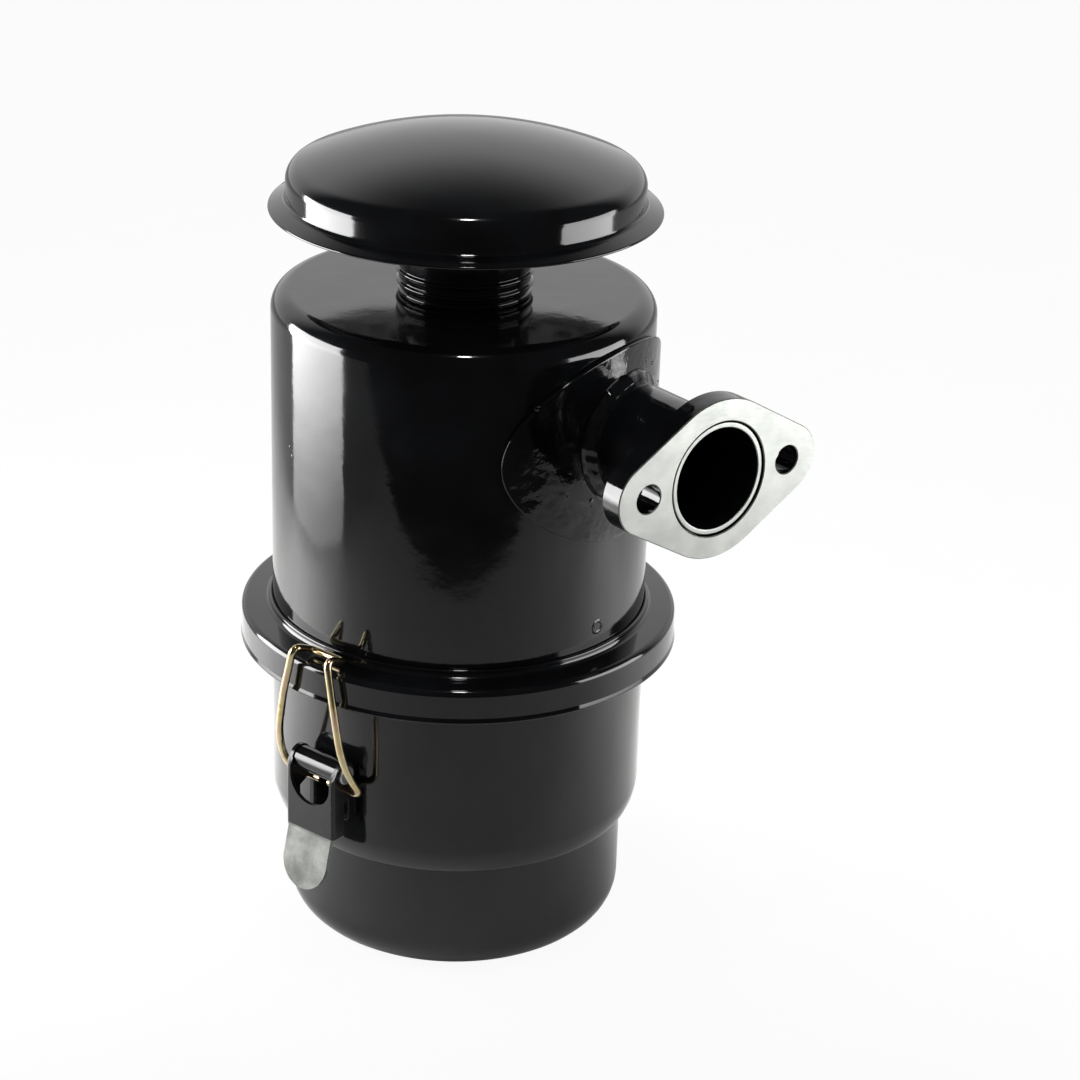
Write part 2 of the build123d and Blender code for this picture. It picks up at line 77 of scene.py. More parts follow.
def reach(node):
    """Largest radius of a node that is round about Z, in millimetres."""
    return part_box(node)[1].y / MM


def corners(node):
    """Lowest and highest corner of a node's box, in millimetres."""
    return [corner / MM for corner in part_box(node)]


slip = 0.05
shell_radius = reach("housing_shell")
shell_top = high("housing_shell")
outlet_low, outlet_high = corners("outlet_flange")
outlet_y = (outlet_low.y + outlet_high.y) / 2
outlet_z = (outlet_low.z + outlet_high.z) / 2
pipe_low, pipe_high = corners("outlet_pipe")
pipe_radius = (pipe_high.y - pipe_low.y) / 2
print("shell radius and top:", round(shell_radius, 2), round(shell_top, 2))
print("outlet beside and above the origin:", round(outlet_y, 2), round(outlet_z, 2))

# %% [markdown]
# The camera stands where the photographer stood. Its place, tilt and lens were found by matching the
# rims of the bowl, ring, shell and cap with their ellipses in the picture. A long lens from a little
# under a metre gives those flat ellipses, which a short lens from nearby would not.

# %% Camera
camera_azimuth = radians(52.6)
camera_distance = 849.57
camera_height = 502.83
camera_pitch = 0.4137
camera_yaw = 0.0303
camera_roll = 0.0314
sensor_mm = 36.0
focal_length_pixels = 2888.43
picture_pixels = 1080
camera_turn = Matrix.Rotation(camera_azimuth, 4, "Z")


def seen(x, y, z):
    """A point given from the photographer's side, y away from them, in the row frame and in metres."""
    return camera_turn @ (Vector((x, y, z)) * MM)


def add_object(name, data):
    """Put a camera, a lamp or a mesh into the scene as an object."""
    made = bpy.data.objects.new(name, data)
    bpy.context.scene.collection.objects.link(made)
    return made


camera_data = bpy.data.cameras.new("camera")
camera_data.sensor_width = sensor_mm
camera_data.lens = sensor_mm * focal_length_pixels / picture_pixels
camera = add_object("camera", camera_data)
camera.matrix_world = (
    Matrix.Translation(seen(0, -camera_distance, camera_height))
    @ camera_turn
    @ Matrix.Rotation(-camera_yaw, 4, "Z")
    @ Matrix.Rotation(radians(90) - camera_pitch, 4, "X")
    @ Matrix.Rotation(camera_roll, 4, "Z")
)
bpy.context.scene.camera = camera
print("lens, mm:", round(camera_data.lens, 2))

# %% [markdown]
# All materials are built from nodes by one small function. A pattern's scale is one over its real size,
# because Object coordinates are in metres, and a colour is written as on a paint chart and turned to
# linear light once.


# %% Small tools for materials
def linear(hex_colour):
    """An sRGB hex colour as linear red, green, blue and alpha."""
    parts = [int(hex_colour[i : i + 2], 16) / 255 for i in (1, 3, 5)]
    return [c / 12.92 if c <= 0.04045 else ((c + 0.055) / 1.055) ** 2.4 for c in parts] + [1.0]


def per(size_mm):
    """Pattern scale that repeats about every size_mm on Object coordinates."""
    return 1 / (size_mm * MM)


def add(tree, kind, inputs=None, stops=(), into=None, **settings):
    """Add one node with its settings, and give its inputs values or links.

    stops are a ramp's places and hex colours, and into is a socket that takes the first output.
    """
    node = tree.nodes.new("ShaderNode" + kind)
    for name, value in settings.items():
        setattr(node, name, value)
    for name, value in (inputs or {}).items():
        if isinstance(value, bpy.types.NodeSocket):
            tree.links.new(value, node.inputs[name])
        else:
            node.inputs[name].default_value = value
    for i, (position, colour) in enumerate(stops):
        ramp = node.color_ramp.elements
        stop = ramp[i] if i < len(ramp) else ramp.new(position)
        stop.position = position
        stop.color = linear(colour)
    if into is not None:
        tree.links.new(node.outputs[0], into)
    return node


def new_material(name, **sockets):
    """A material with only a Principled shader, its plain sockets set."""
    material = bpy.data.materials.new(name)
    material.use_nodes = True
    tree = material.node_tree
    shader = tree.nodes["Principled BSDF"]
    for socket, value in sockets.items():
        shader.inputs[socket.replace("_", " ")].default_value = value
    return material, tree, shader


print("scale of a pattern 2 mm wide:", per(2.0))

# %% [markdown]
# Black baked enamel covers nearly everything. The part is dipped or sprayed and then baked, which leaves
# a hard mirror-like skin over a slightly wavy film, called orange peel. The eye reads it from the
# reflections, so the colour is plain near-black, and the work is in roughness patches two centimetres
# wide and a peel two millimetres wide. Over welds the film runs, over spatter it is pebbled, and on the
# levers handling has dulled it, so each has its own version of the same paint.


# %% Black baked enamel
def baked_enamel(name, peel_mm, peel_depth, run_mm, run_depth, rough=(0.055, 0.13)):
    """Gloss enamel: a fine orange peel on top of slower runs in the film, depths in millimetres."""
    material, tree, shader = new_material(name, IOR=1.52)
    place = add(tree, "TexCoord").outputs["Object"]
    patches = add(tree, "TexNoise", {"Vector": place, "Scale": per(22), "Detail": 5.0}).outputs["Fac"]
    black = [(0.35, "#060607"), (0.65, "#0c0d0f")]
    add(tree, "ValToRGB", {"Fac": patches}, stops=black, into=shader.inputs["Base Color"])
    gloss = {"Value": patches, "From Min": 0.35, "From Max": 0.7, "To Min": rough[0], "To Max": rough[1]}
    add(tree, "MapRange", gloss, into=shader.inputs["Roughness"])
    runs = add(tree, "TexNoise", {"Vector": place, "Scale": per(run_mm), "Detail": 1.0}).outputs["Fac"]
    peel = add(tree, "TexNoise", {"Vector": place, "Scale": per(peel_mm), "Detail": 1.0}).outputs["Fac"]
    wavy = add(tree, "Bump", {"Height": runs, "Distance": run_depth * MM}).outputs["Normal"]
    skin = {"Height": peel, "Distance": peel_depth * MM, "Normal": wavy}
    add(tree, "Bump", skin, into=shader.inputs["Normal"])
    return material


enamel = baked_enamel("black_baked_enamel", peel_mm=2.0, peel_depth=0.006, run_mm=26, run_depth=0.07)
enamel_wall = baked_enamel("black_enamel_on_the_wall", 2.2, 0.012, 14, 0.09)
enamel_runs = baked_enamel("black_enamel_with_runs", 2.4, 0.025, 10, 0.3)
enamel_plate = baked_enamel("black_enamel_over_spatter", 1.7, 0.05, 6, 0.25)
enamel_latch = baked_enamel("black_latch_enamel", 1.6, 0.01, 9, 0.05, rough=(0.2, 0.34))
print("enamels:", *[coat.name for coat in (enamel, enamel_wall, enamel_runs, enamel_plate, enamel_latch)])

# %% [markdown]
# The outlet flange is cut from thick steel plate. It is painted with the rest and its face is then
# machined bare, so the face is pale grey with fine tool lines about a third of a millimetre apart, and a
# film of oil that keeps it from rusting. Metal keeps the default IOR, and gets its look from roughness.


# %% Bare and plated metals
def bare_metal(name, dark, light, rough, line_mm, line_depth, stretch):
    """Steel with fine lines: stretch is how much longer a line is than it is wide, on X, Y and Z."""
    material, tree, shader = new_material(name, Metallic=1.0)
    place = add(tree, "TexCoord").outputs["Object"]
    clouds = add(tree, "TexNoise", {"Vector": place, "Scale": per(9), "Detail": 8.0}).outputs["Fac"]
    grey = [(0.35, dark), (0.65, light)]
    add(tree, "ValToRGB", {"Fac": clouds}, stops=grey, into=shader.inputs["Base Color"])
    drawn = add(tree, "Mapping", {"Vector": place, "Scale": [1 / s for s in stretch]}).outputs["Vector"]
    lines = add(tree, "TexNoise", {"Vector": drawn, "Scale": per(line_mm), "Detail": 3.0}).outputs["Fac"]
    shine = {"Value": lines, "From Min": 0.3, "From Max": 0.7, "To Min": rough[0], "To Max": rough[1]}
    add(tree, "MapRange", shine, into=shader.inputs["Roughness"])
    add(tree, "Bump", {"Height": lines, "Distance": line_depth * MM}, into=shader.inputs["Normal"])
    return material


machined_steel = bare_metal("machined_steel", "#959794", "#a3a5a1", (0.34, 0.5), 0.35, 0.004, (1, 9, 1))
worn_steel = bare_metal("rubbed_steel", "#6c6e6b", "#989a96", (0.24, 0.46), 0.45, 0.03, (1, 5, 1))
zinc_steel = bare_metal("zinc_plated_steel", "#a9acae", "#c3c6c8", (0.28, 0.4), 0.4, 0.003, (1, 1, 1))
galvanised = bare_metal("galvanised_sheet", "#8d9294", "#b2b7b9", (0.38, 0.58), 3.0, 0.01, (1, 1, 1))
print("metals:", machined_steel.name, worn_steel.name, zinc_steel.name, galvanised.name)

# %% [markdown]
# The wire bails are spring steel, zinc plated and yellow passivated. The passivation is a film thin
# enough to show interference colours, so the gold drifts to a faint pink and green every few
# millimetres. Drawing the wire left lines under a millimetre wide.

# %% Yellow passivated zinc
gold_drift = [(0.3, "#bfa983"), (0.43, "#d9c596"), (0.52, "#cfc69c"), (0.6, "#cfb398"), (0.72, "#dacba2")]
yellow_zinc, tree, shader = new_material("yellow_passivated_zinc", Metallic=1.0, Roughness=0.2)
place = add(tree, "TexCoord").outputs["Object"]
film = add(tree, "TexNoise", {"Vector": place, "Scale": per(6), "Detail": 2.0}).outputs["Fac"]
add(tree, "ValToRGB", {"Fac": film}, stops=gold_drift, into=shader.inputs["Base Color"])
draw_lines = add(tree, "TexNoise", {"Vector": place, "Scale": per(0.9), "Detail": 2.0}).outputs["Fac"]
add(tree, "Bump", {"Height": draw_lines, "Distance": 0.008 * MM}, into=shader.inputs["Normal"])
print("wire finish:", yellow_zinc.name)

# %% [markdown]
# Inside are two pads of knitted steel wire, 0.3 mm thick in loops a few millimetres wide. A pad is a
# plain ring in the frame and nobody sees it from outside, so crossing wave bands with a deep bump stand
# for the loops, and the colour between the bands is darkened as painted shade in the gaps of the knit.
# A Wave texture has about three bands to its unit, so a unit of 20 mm repeats every 6 mm.

# %% Knitted wire
band_unit = 20.096
knitted_wire, tree, shader = new_material("knitted_steel_wire", Metallic=1.0, Roughness=0.38)
place = add(tree, "TexCoord").outputs["Object"]
along_x, along_y, along_z = (
    add(tree, "TexWave", {"Vector": place, "Scale": per(band_unit), "Distortion": 6.0}, bands_direction=way)
    for way in ("X", "Y", "Z")
)
crossing = add(tree, "Math", {0: along_x.outputs["Fac"], 1: along_y.outputs["Fac"]}, operation="MAXIMUM")
loops = add(tree, "Math", {0: crossing.outputs[0], 1: along_z.outputs["Fac"]}, operation="MAXIMUM").outputs[0]
# Painted shade: dark grey between the loops, where the knit's gaps fall into shade, and steel grey on them.
wire_grey_and_gap_shade = [(0.35, "#2b2b2a"), (0.65, "#9c9d9b")]
add(tree, "ValToRGB", {"Fac": loops}, stops=wire_grey_and_gap_shade, into=shader.inputs["Base Color"])
add(tree, "Bump", {"Height": loops, "Distance": 0.8 * MM}, into=shader.inputs["Normal"])
print("mesh finish:", knitted_wire.name)

# %% [markdown]
# The gasket between bowl and housing is nitrile rubber, moulded with a matt skin. Its only pattern is
# the bloom, a faint greyish dust that rubber sweats out, a few millimetres wide.

# %% Nitrile rubber
nitrile, tree, shader = new_material("nitrile_rubber", IOR=1.5)
place = add(tree, "TexCoord").outputs["Object"]
bloom = add(tree, "TexNoise", {"Vector": place, "Scale": per(5), "Detail": 6.0}).outputs["Fac"]
dust = [(0.35, "#141414"), (0.65, "#232322")]
add(tree, "ValToRGB", {"Fac": bloom}, stops=dust, into=shader.inputs["Base Color"])
add(tree, "MapRange", {"Value": bloom, "To Min": 0.55, "To Max": 0.8}, into=shader.inputs["Roughness"])
print("gasket finish:", nitrile.name)

# %% [markdown]
# Pressings and wires both start from a bent line: a few corners, each rounded by a vertex bevel. The
# bevel's offset is where the arc leaves the corner, so it is the bend's radius times the tangent of half
# the turn. Drawing the arcs point by point would do too, but a corner and a radius are what a drawing of
# the real part gives.


# %% Bent lines
bend_step = 10


def bent_chain(points, closed=False, degrees_each=bend_step):
    """A bmesh chain through points (x, y, z, bend radius) in millimetres, its corners rounded."""
    chain = bmesh.new()
    verts = [chain.verts.new((x * MM, y * MM, z * MM)) for x, y, z, _ in points]
    for first, second in zip(verts, verts[1:] + verts[:1] if closed else verts[1:]):
        chain.edges.new((first, second))
    count = len(verts)
    bends = []
    for i in range(count) if closed else range(1, count - 1):
        before, here, after = verts[i - 1].co, verts[i].co, verts[(i + 1) % count].co
        bends.append((verts[i], (here - before).angle(after - here), points[i][3]))
    for vert, turn, radius in bends:
        if radius:
            bend(chain, vert, turn, radius, max(3, round(degrees(turn) / degrees_each)))
    return chain


def bend(chain, vert, turn, radius, segments):
    """Round one corner of a chain, where its line turns by an angle, to a radius in millimetres."""
    bmesh.ops.bevel(
        chain,
        geom=[vert],
        offset=radius * MM * tan(turn / 2),
        offset_type="OFFSET",
        segments=segments,
        profile=0.5,
        affect="VERTICES",
        material=-1,
    )


def rounded_chain(points, closed=False):
    """A section in the XZ plane through points (reach, height, corner radius)."""
    return bent_chain([(across, 0, up, radius) for across, up, radius in points], closed)


print("a right-angled bend has", round(90 / bend_step), "segments")

# %% [markdown]
# Shell, ring, bowl, cap and collar are pressed or drawn from sheet, and each is a section swept once
# round the axis. Lathe work with a Screw modifier would do as well, but the spin leaves real faces that
# a later step can cut. The pole of a closed bottom or crown is one merged point.

# %% Spinning a section
turns = 180


def spin_round(chain, steps=turns):
    """Sweep everything in the bmesh once round Z, merge its seam and turn its faces outwards."""
    bmesh.ops.spin(
        chain,
        geom=chain.verts[:] + chain.edges[:],
        cent=(0, 0, 0),
        axis=(0, 0, 1),
        dvec=(0, 0, 0),
        angle=2 * pi,
        steps=steps,
        use_merge=True,
    )
    bmesh.ops.remove_doubles(chain, verts=chain.verts, dist=0.002 * MM)
    bmesh.ops.recalc_face_normals(chain, faces=chain.faces)


def widest(face):
    """How far a face's middle is from the filter's axis."""
    return face.calc_center_median().xy.length


def outwards(bm, pick=widest):
    """Turn an open sheet over if the face with the highest pick doesn't point away from the axis."""
    face = max(bm.faces, key=pick)
    middle = face.calc_center_median()
    if face.normal.dot(Vector((middle.x, middle.y, 0))) < 0:
        bmesh.ops.reverse_faces(bm, faces=bm.faces)


print("steps round the axis:", turns, "of", 360 / turns, "degrees")

# %% [markdown]
# A finished bmesh becomes an object that rides on a body of the frame, gets its materials and hides the
# node that it stands for. Smooth shading stops at edges sharper than 35 degrees, so that a flat face stays
# flat next to its rim.


# %% Making a piece
def add_mesh(name, bm):
    """Put a bmesh into the scene as an object."""
    mesh = bpy.data.meshes.new(name)
    bm.to_mesh(mesh)
    bm.free()
    return add_object(name, mesh)


def make_piece(bm, name, body, materials, replaced=(), sharp=35):
    """Turn the bmesh into a smooth object that rides on a body and stands for CAD nodes."""
    piece = add_mesh(name, bm)
    mesh = piece.data
    mesh.shade_smooth()
    mesh.set_sharp_from_angle(angle=radians(sharp))
    for material in materials:
        mesh.materials.append(material)
    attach(piece, body)
    if replaced:
        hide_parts(*replaced)
    print(f"{name}: {len(mesh.polygons)} faces")
    return piece

# %% [markdown]
# Sheet metal has a thickness and cut edges that paint rounds off. A Solidify modifier thickens the
# surface inwards, a Bevel rounds its rims nearly to half the sheet, and Weighted Normal lets the large
# faces decide the shading, so that long flat walls don't bend the reflections at their ends.

# %% Thickness and edges
rim_share = 0.48
rim_segments = 4
sharp_bend = radians(40)


def thicken(piece, thickness):
    """Give a one-sided sheet its thickness in millimetres, inwards."""
    wall = piece.modifiers.new("wall", "SOLIDIFY")
    wall.thickness = thickness * MM
    wall.offset = -1
    return wall


def even_shading(piece):
    """Let each face's size weigh in its corners' normals, so that flat walls shade flat."""
    shading = piece.modifiers.new("shading", "WEIGHTED_NORMAL")
    shading.keep_sharp = True


def break_edges(piece, width, segments=2):
    """Round the edges that a tool or a press leaves sharp, and even out the shading."""
    edge = piece.modifiers.new("edges", "BEVEL")
    edge.width = width * MM
    edge.segments = segments
    edge.limit_method = "ANGLE"
    edge.angle_limit = sharp_bend
    even_shading(piece)


def press(section, name, node, thickness, steps=turns, pick=widest):
    """Spin a section into a pressing of an even thickness that stands for a node."""
    spin_round(section, steps)
    outwards(section, pick)
    pressing = make_piece(section, name, "filter", [enamel], [node])
    thicken(pressing, thickness).use_even_offset = True
    break_edges(pressing, rim_share * thickness, rim_segments)


print("a rim is rounded to", rim_share, "of its sheet")

# %% [markdown]
# The housing shell is a can drawn upside down from 1 mm sheet, with a tight bend round its top. Its side
# has one big hole for the outlet pipe. The pipe meets the wall beside its middle, which no spin can
# give, so the hole is cut with a Boolean. The cutter is thrown away once the cut is applied.

# %% Housing shell
sheet = 1.0
shell_bend = 6.0
neck_hole = reach("centre_tube") + slip
pipe_hole = pipe_radius + slip
shell = rounded_chain(
    [
        (neck_hole, shell_top, 0),
        (shell_radius, shell_top, shell_bend),
        (shell_radius, low("housing_shell"), 0),
    ]
)
spin_round(shell)
outwards(shell)
shell_piece = make_piece(shell, "shell_pressing", "filter", [enamel_wall], ["housing_shell"])
thicken(shell_piece, sheet)

along_outlet = Matrix.Translation((0, outlet_y * MM, outlet_z * MM)) @ Matrix.Rotation(radians(90), 4, "Y")
drill = bmesh.new()
bmesh.ops.create_cone(
    drill,
    cap_ends=True,
    segments=96,
    radius1=pipe_hole * MM,
    radius2=pipe_hole * MM,
    depth=2 * shell_radius * MM,
    matrix=Matrix.Translation((shell_radius * MM, 0, 0)) @ along_outlet,
)
drill_object = add_mesh("drill", drill)
cut = shell_piece.modifiers.new("outlet_hole", "BOOLEAN")
cut.operation = "DIFFERENCE"
cut.solver = "EXACT"
cut.object = drill_object
bpy.context.view_layer.update()
cut_shell = bpy.data.meshes.new_from_object(shell_piece.evaluated_get(bpy.context.evaluated_depsgraph_get()))
shell_piece.modifiers.clear()
shell_piece.data = cut_shell
bpy.data.objects.remove(drill_object)
even_shading(shell_piece)
print("shell after the cut:", len(cut_shell.polygons), "faces")

# %% [markdown]
# The housing ring is pressed from slightly thicker sheet. A short collar grips the shell, a band runs
# out with a small fall so that rain drips off, and a skirt hides the bowl's lip and its gasket. The last
# millimetres of the skirt flare out a little: in the picture they catch the softboxes, which lie too high
# for an upright wall to show.

# %% Housing ring
ring_sheet = 1.2
ring_radius = reach("housing_ring")
ring_top = high("housing_ring")
collar_rise = 2.4
band_fall = 0.6
hem_flare = 0.5
hem_rise = 1.7
ring = rounded_chain(
    [
        (shell_radius + ring_sheet, ring_top, 0),
        (shell_radius + ring_sheet, ring_top - collar_rise, 1.5),
        (ring_radius - hem_flare, ring_top - collar_rise - band_fall, 2.0),
        (ring_radius - hem_flare, low("housing_ring") + hem_rise, 1.2),
        (ring_radius, low("housing_ring"), 0),
    ]
)
press(ring, "ring_pressing", "housing_ring", ring_sheet)

# %% [markdown]
# The oil bowl is deep drawn in two steps. The lower, narrower step holds the oil, a flat ledge under the
# shoulder carries the baffle, and the top is rolled out to a lip with its edge turned down. There the
# sheet's outer side faces the axis, so the lower wall tells which side is out.

# %% Oil bowl
bowl_lip_radius = reach("oil_bowl")
bowl_lip_top = high("oil_bowl")
bowl_clearance = 0.35
bowl_radius = shell_radius + bowl_clearance
shoulder_width = 2.5
ledge_width = 2.9
bowl_ledge_radius = bowl_radius - shoulder_width
bowl_lower_radius = bowl_ledge_radius - ledge_width
step_height = 40.0
shoulder_rise = 4.7
lip_turn = 3.5
bowl = rounded_chain(
    [
        (0, 0, 0),
        (bowl_lower_radius, 0, 12.0),
        (bowl_lower_radius, step_height, 1.2),
        (bowl_ledge_radius, step_height, 1.2),
        (bowl_radius, step_height + shoulder_rise, 14.0),
        (bowl_radius, bowl_lip_top - sheet, 2.5),
        (bowl_lip_radius - sheet, bowl_lip_top - sheet, 1.2),
        (bowl_lip_radius - sheet, bowl_lip_top - lip_turn, 0),
    ]
)


def lower_wall(face):
    """Picks a face of the bowl's lower wall."""
    middle = face.calc_center_median()
    return middle.xy.length if middle.z < step_height / 2 * MM else 0


press(bowl, "bowl_drawing", "oil_bowl", sheet, pick=lower_wall)

# %% [markdown]
# The rain cap keeps water out of the inlet. Its crown is a shallow dome of 135 mm radius, so the section
# starts with one vertex on the axis that is spun about the dome's centre. A tight bend, a low side band
# and a drooping flange follow.

# %% Rain cap
crown_radius = 135.0
crown_steps = 12
crown_bend = 5.5
flange_bend = 1.8
cap_bend_segments = 8
cap_band = 55.2
cap_depth = 23.6
flange_rise = 2.4
cap_radius = reach("rain_cap")
cap_top = high("rain_cap")
cap_edge = cap_top - cap_depth
crown_angle = asin(cap_band / crown_radius)
cap = bmesh.new()
bmesh.ops.spin(
    cap,
    geom=[cap.verts.new((0, 0, cap_top * MM))],
    cent=(0, 0, (cap_top - crown_radius) * MM),
    axis=(0, 1, 0),
    dvec=(0, 0, 0),
    angle=crown_angle,
    steps=crown_steps,
)
cap.verts.ensure_lookup_table()
crown_end = max(cap.verts, key=lambda vert: vert.co.x)
band_foot = cap.verts.new((cap_band * MM, 0, (cap_edge + flange_rise) * MM))
flange_edge = cap.verts.new((cap_radius * MM, 0, cap_edge * MM))
cap.edges.new((crown_end, band_foot))
cap.edges.new((band_foot, flange_edge))
bend(cap, crown_end, pi / 2 - crown_angle, crown_bend, cap_bend_segments)
bend(cap, band_foot, atan2(cap_radius - cap_band, flange_rise), flange_bend, cap_bend_segments)
press(cap, "cap_pressing", "rain_cap", sheet)

# %% [markdown]
# The collar under the cap is a sleeve over the centre tube with two rolled beads, which stiffen it, and a
# flange that is spot welded to the inlet plate. The flange faces up and down, so the plain wall above the
# beads tells which side is out.

# %% Cap collar
collar_sheet = 0.8
collar_radius = reach("centre_tube") + slip + collar_sheet
collar_low = low("cap_collar")
collar_high = high("cap_collar")
collar_turns = 120
bead = 0.8
bead_feet = (0.8, 4.4)
plain_wall = 7
collar_points = [(collar_radius, collar_low, 0)]
for foot in bead_feet:
    middle = collar_low + foot + bead
    collar_points += [
        (collar_radius, middle - 1.1 * bead, 0.3),
        (collar_radius + bead, middle - 0.4 * bead, 0.4),
        (collar_radius + bead, middle + 0.4 * bead, 0.4),
        (collar_radius, middle + 1.1 * bead, 0.3),
    ]
collar_points += [(collar_radius, collar_high, 1.2), (reach("cap_collar"), collar_high, 0)]


def above_beads(face):
    """Picks a face of the collar's plain wall."""
    return -abs(face.calc_center_median().z - (collar_low + plain_wall) * MM)


press(rounded_chain(collar_points), "collar_sleeve", "cap_collar", collar_sheet, collar_turns, above_beads)

# %% [markdown]
# The doubler is an oval plate bent to the shell. It spreads the pull of the engine's vibration from the
# pipe into the thin wall. It is drawn flat, as an oval loop and a round loop with a bridge between them,
# and the flat plate is then rolled onto the shell: each vertex keeps its height, and its distance along
# the plate becomes an angle.

# %% Outlet doubler
doubler_sheet = 1.5
doubler_face = shell_radius + slip + doubler_sheet
doubler_half_width = 42.6
doubler_rim = 0.45
doubler_low, doubler_high = corners("outlet_doubler")
doubler_half_height = (doubler_high.z - doubler_low.z) / 2
doubler_z = (doubler_high.z + doubler_low.z) / 2
doubler_angle = asin(outlet_y / doubler_face)
loop_count = 144
rings_between = 14
plate = bmesh.new()
oval = bmesh.ops.create_circle(plate, segments=loop_count, radius=1)["verts"]
for vert in oval:
    across = doubler_half_width * vert.co.x
    angle = doubler_angle + asin(across / doubler_face)
    vert.co = Vector((0, angle * doubler_face * MM, (doubler_z + doubler_half_height * vert.co.y) * MM))
hole = bmesh.ops.create_circle(plate, segments=loop_count, radius=1)["verts"]
for vert in hole:
    across = outlet_y + pipe_hole * vert.co.x
    height = outlet_z + pipe_hole * vert.co.y
    vert.co = Vector((0, asin(across / doubler_face) * doubler_face * MM, height * MM))
bmesh.ops.bridge_loops(plate, edges=plate.edges)
spokes = [edge for edge in plate.edges if (edge.verts[0] in oval) != (edge.verts[1] in oval)]
bmesh.ops.subdivide_edges(plate, edges=spokes, cuts=rings_between, use_grid_fill=True)
for vert in plate.verts:
    angle = vert.co.y / (doubler_face * MM)
    vert.co = Vector((doubler_face * MM * cos(angle), doubler_face * MM * sin(angle), vert.co.z))
bmesh.ops.recalc_face_normals(plate, faces=plate.faces)
outwards(plate)
plate_piece = make_piece(plate, "doubler_plate", "filter", [enamel_plate], ["outlet_doubler"])
thicken(plate_piece, doubler_sheet)
break_edges(plate_piece, doubler_rim, 3)

# %% [markdown]
# The outlet pipe is a plain tube. Its section is a closed rectangle with broken edges, spun like the
# pressings and then laid along the outlet. Its end was machined with the flange, so it is bare too.

# %% Outlet pipe
pipe_wall = 1.6
sawn_edge = 0.25
machined_edge = 0.35
bare_end = 0.3
pipe_turns = 120
pipe_bore = pipe_radius - pipe_wall
pipe = rounded_chain(
    [
        (pipe_bore, pipe_low.x, sawn_edge),
        (pipe_radius, pipe_low.x, sawn_edge),
        (pipe_radius, pipe_high.x, machined_edge),
        (pipe_bore, pipe_high.x, machined_edge),
    ],
    closed=True,
)
spin_round(pipe, pipe_turns)
bmesh.ops.transform(pipe, matrix=along_outlet, verts=pipe.verts)
for face in pipe.faces:
    face.material_index = 1 if face.calc_center_median().x > (pipe_high.x - bare_end) * MM else 0
pipe_paint = [enamel_runs, machined_steel]
even_shading(make_piece(pipe, "outlet_tube", "filter", pipe_paint, ["outlet_pipe"]))

# %% [markdown]
# Arc welds join pipe and doubler, pipe and flange, and tube and shell. A bead is a fat triangle in
# section, laid in small overlapping ripples. Each is spun as a ring, and on the two at the outlet the
# vertices are then pushed in by noise with a ripple of 3 mm. The bead on the doubler also slides along
# the pipe until it sits on the plate's curve.

# %% Weld beads
weld_leg = 3.7
weld_turns = 220
neck_weld_turns = 160
ripple_depth = 0.9
ripple_length = 3.0
bead_shoulders = ((0.82, 0.45), (0.42, 0.84))


def weld_ring(inner, leg, rise, steps=weld_turns):
    """A ring of weld round Z: inner radius, width across the plate and rise along the tube."""
    shoulders = [(inner + out * leg, up * rise, 1.0) for out, up in bead_shoulders]
    section = rounded_chain([(inner, 0, 0), (inner + leg, 0, 0.3), *shoulders, (inner, rise, 0)], closed=True)
    spin_round(section, steps)
    return section


def ripple(bm, inner):
    """Push a weld's surface in by up to the ripple's depth, but not where it meets tube and plate."""
    for vert in bm.verts:
        away_from_tube = vert.co.xy.length / MM - inner
        if away_from_tube > 0.1 and vert.co.z > 0.1 * MM:
            swell = noise.noise(vert.co / (ripple_length * MM))
            push = -ripple_depth * (0.5 + 0.5 * swell) * MM
            vert.co += vert.co.xy.to_3d().normalized() * push
            vert.co.z += 0.5 * push


def make_weld(weld, name, node):
    """A weld is painted with the rest, and its ripples stay smooth up to 60 degrees."""
    make_piece(weld, name, "filter", [enamel_runs], [node], sharp=60)


plate_weld = weld_ring(pipe_hole, weld_leg, weld_leg)
ripple(plate_weld, pipe_hole)
bmesh.ops.transform(plate_weld, matrix=along_outlet, verts=plate_weld.verts)
for vert in plate_weld.verts:
    vert.co.x += sqrt((doubler_face * MM) ** 2 - vert.co.y**2)
make_weld(plate_weld, "plate_weld", "outlet_pipe_weld")

flange_back = outlet_low.x
flange_weld = weld_ring(pipe_hole, weld_leg, weld_leg)
ripple(flange_weld, pipe_hole)
bmesh.ops.scale(flange_weld, vec=(1, 1, -1), verts=flange_weld.verts)
bmesh.ops.reverse_faces(flange_weld, faces=flange_weld.faces)
bmesh.ops.transform(flange_weld, matrix=along_outlet, verts=flange_weld.verts)
bmesh.ops.translate(flange_weld, vec=(flange_back * MM, 0, 0), verts=flange_weld.verts)
make_weld(flange_weld, "flange_weld", "outlet_flange_weld")

neck_leg = reach("neck_weld") - neck_hole
neck_rise = high("neck_weld") - low("neck_weld")
neck = weld_ring(neck_hole, neck_leg, neck_rise, neck_weld_turns)
bmesh.ops.translate(neck, vec=(0, 0, shell_top * MM), verts=neck.verts)
make_weld(neck, "neck_bead", "neck_weld")

# %% [markdown]
# The flange is 8 mm plate: a round middle and two round ends joined by tangents. The tangent leaves each
# circle where the two radii differ by as much as their centres' distance lets them, which is one arc
# cosine. An arc is one vertex spun about its centre, and the outline is four arcs with edges between.

# %% The flange's outline and holes
stud_half = 27.0
stud_radius = 4.5
stud_land = (outlet_high.y - outlet_low.y) / 2 - stud_half
flange_half = (outlet_high.z - outlet_low.z) / 2
tangent_angle = acos((flange_half - stud_land) / stud_half)
arc_steps = 24


